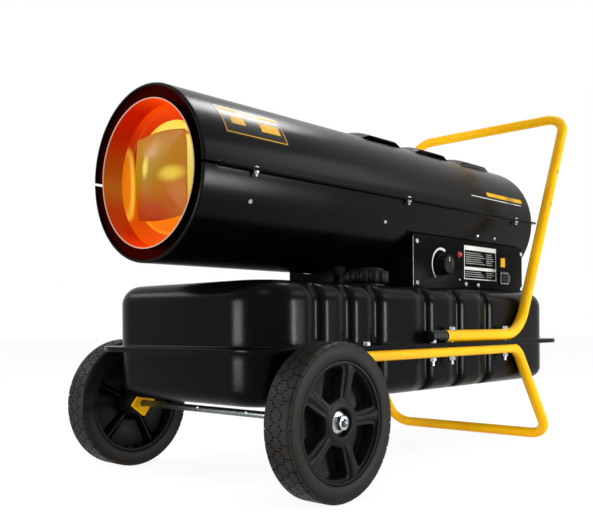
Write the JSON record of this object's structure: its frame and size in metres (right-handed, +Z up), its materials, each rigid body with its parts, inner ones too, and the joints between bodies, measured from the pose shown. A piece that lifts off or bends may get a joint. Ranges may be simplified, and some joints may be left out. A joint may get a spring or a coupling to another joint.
{
  "type": "forced air heater",
  "caption": "Wheeled oil-fired space heater: a long tube with a hot air outlet, a fan and burner inside, on a flanged fuel tank with a push handle.",
  "frame": {"origin": "middle of the footprint on the floor, under the tank", "axes": "+X towards the rear with the push handle, so the hot air leaves towards -X; the control panel faces -Y; +Z up"},
  "size_m": [0.904, 0.4726, 0.6393],
  "materials": {
    "shell_paint": "gloss black powder coat",
    "tank_paint": "satin black textured paint",
    "frame_paint": "gloss yellow powder coat",
    "tyre_rubber": "dark warm grey moulded rubber",
    "hub_plastic": "dark moulded plastic",
    "zinc": "zinc plated steel",
    "hot_steel": "heat-tinted stainless steel",
    "cast_metal": "bare cast and pressed aluminium",
    "motor_paint": "dark motor paint",
    "black_plastic": "black moulded plastic",
    "ceramic": null,
    "lamp_lens": "red translucent lens",
    "board_green": "green circuit board",
    "brass": "brass"
  },
  "bodies": {
    "base": {"upper_shell": "shell_paint", "lower_shell": "shell_paint", "control_box": "shell_paint", "side_panel": "shell_paint", "tank_upper": "tank_paint", "tank_lower": "tank_paint", "front_support": "tank_paint", "wheel_frame": "frame_paint", "handle": "frame_paint", "axle": "zinc", "left_axle_nut": "zinc", "right_axle_nut": "zinc", "filler_neck": "zinc", "rear_guard": "zinc", "motor_bracket": "zinc", "left_frame_bolt_1": "zinc", "left_frame_bolt_2": "zinc", "left_handle_bolt_1": "zinc", "left_handle_bolt_2": "zinc", "left_seam_screw_1": "zinc", "left_seam_screw_2": "zinc", "left_seam_screw_3": "zinc", "right_frame_bolt_1": "zinc", "right_frame_bolt_2": "zinc", "right_handle_bolt_1": "zinc", "right_handle_bolt_2": "zinc", "right_seam_screw_1": "zinc", "right_seam_screw_2": "zinc", "right_seam_screw_3": "zinc", "heat_shield": "hot_steel", "combustion_chamber": "hot_steel", "flame_baffle": "hot_steel", "burner_head": "cast_metal", "pump_body": "cast_metal", "ignition_transformer": "cast_metal", "fan_motor": "motor_paint", "left_handle_plug": "black_plastic", "right_handle_plug": "black_plastic", "photocell": "black_plastic", "pump_cover": "black_plastic", "thermostat_body": "black_plastic", "switch_housing": "black_plastic", "cable_gland": "black_plastic", "air_line": "black_plastic", "igniter": "ceramic", "indicator_lamp": "lamp_lens", "circuit_board": "board_green", "spray_nozzle": "brass", "fuel_pickup": "brass", "fuel_line": "brass"},
    "left_wheel": {"left_tyre": "tyre_rubber", "left_wheel_hub": "hub_plastic"},
    "right_wheel": {"right_tyre": "tyre_rubber", "right_wheel_hub": "hub_plastic"},
    "fan_rotor": {"motor_shaft": "zinc", "fan": "cast_metal", "pump_rotor": "cast_metal"},
    "knob": {"thermostat_knob": "black_plastic"},
    "rocker": {"switch_rocker": "black_plastic"},
    "cap": {"fuel_cap": "black_plastic"}
  },
  "joints": [
    {"name": "left_wheel_spin", "type": "hinge", "parent": "base", "child": "left_wheel", "pos_m": [-0.32895, -0.211, 0.1], "axis": [0, 1, 0], "continuous": true},
    {"name": "right_wheel_spin", "type": "hinge", "parent": "base", "child": "right_wheel", "pos_m": [-0.32895, 0.211, 0.1], "axis": [0, 1, 0], "continuous": true},
    {"name": "fan_spin", "type": "hinge", "parent": "base", "child": "fan_rotor", "pos_m": [0.143, 0, 0.42], "axis": [1, 0, 0], "continuous": true},
    {"name": "thermostat_turn", "type": "hinge", "parent": "base", "child": "knob", "pos_m": [0.08305, -0.12, 0.3213], "axis": [0, -1, 0], "range_deg": [-135, 135]},
    {"name": "switch_tip", "type": "hinge", "parent": "base", "child": "rocker", "pos_m": [0.30305, -0.1125, 0.3063], "axis": [0, 0, 1], "range_deg": [0, 20]},
    {"name": "cap_turn", "type": "hinge", "parent": "base", "child": "cap", "pos_m": [-0.11795, -0.105, 0.2945], "axis": [0, 0, 1], "range_deg": [0, 90]}
  ]
}
